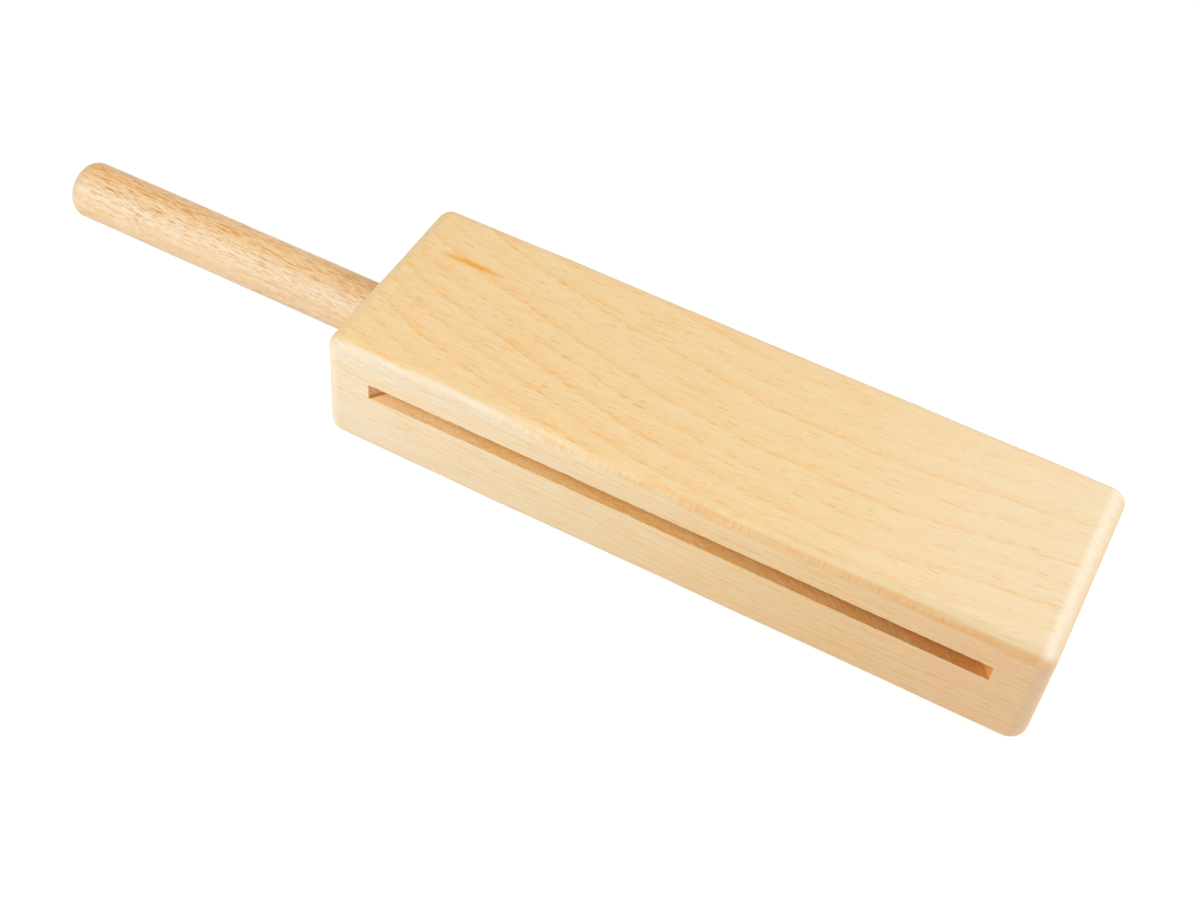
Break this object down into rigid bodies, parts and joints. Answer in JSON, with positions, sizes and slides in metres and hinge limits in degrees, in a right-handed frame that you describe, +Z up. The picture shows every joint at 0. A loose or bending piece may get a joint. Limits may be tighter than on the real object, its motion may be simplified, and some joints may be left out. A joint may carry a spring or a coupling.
{
  "type": "two-tone wood block",
  "caption": "Hand-held beech wood block with a saw-cut sound slot between a thin and a thick striking plate, on a straight round handle glued into one end.",
  "frame": {"origin": "middle of the block's flat underside, the face it rests on", "axes": "+X along the block away from the handle, -Y out of the slotted long face, +Z up out of the upper striking face"},
  "size_m": [0.303, 0.0624, 0.036],
  "materials": {
    "block_beech": "satin",
    "handle_beech": "satin",
    "wood_glue": "satin"
  },
  "bodies": {
    "root": {"sound_block": "block_beech", "handle": "handle_beech", "handle_glue": "wood_glue"}
  },
  "joints": []
}
